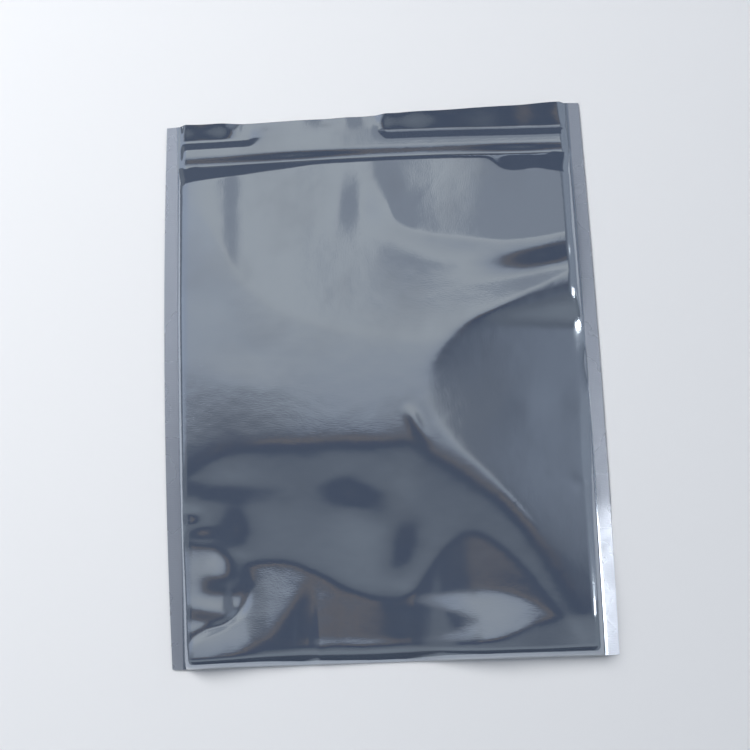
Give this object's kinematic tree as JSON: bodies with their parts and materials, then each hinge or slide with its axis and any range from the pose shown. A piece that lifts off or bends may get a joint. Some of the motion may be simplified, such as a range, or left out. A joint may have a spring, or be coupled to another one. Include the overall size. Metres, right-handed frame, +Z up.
{
  "type": "anti static shielding bag",
  "caption": "Flat reclosable metallised film bag with side seals, a folded bottom and a zip mouth, shut and holding a little air.",
  "frame": {"origin": "centre of the bag's outline, on the surface that it lies on", "axes": "+Y from the folded bottom to the open lips, +X across the bag to the right, +Z up from the back film"},
  "size_m": [0.2208, 0.279, 0.0142],
  "materials": {
    "film": "metallised film, glossy with a fine orange peel",
    "zip": "translucent natural polyethylene"
  },
  "bodies": {
    "root": {"film_bag": "film", "zip_rib_strip": "zip", "zip_groove_strip": "zip"}
  },
  "joints": []
}
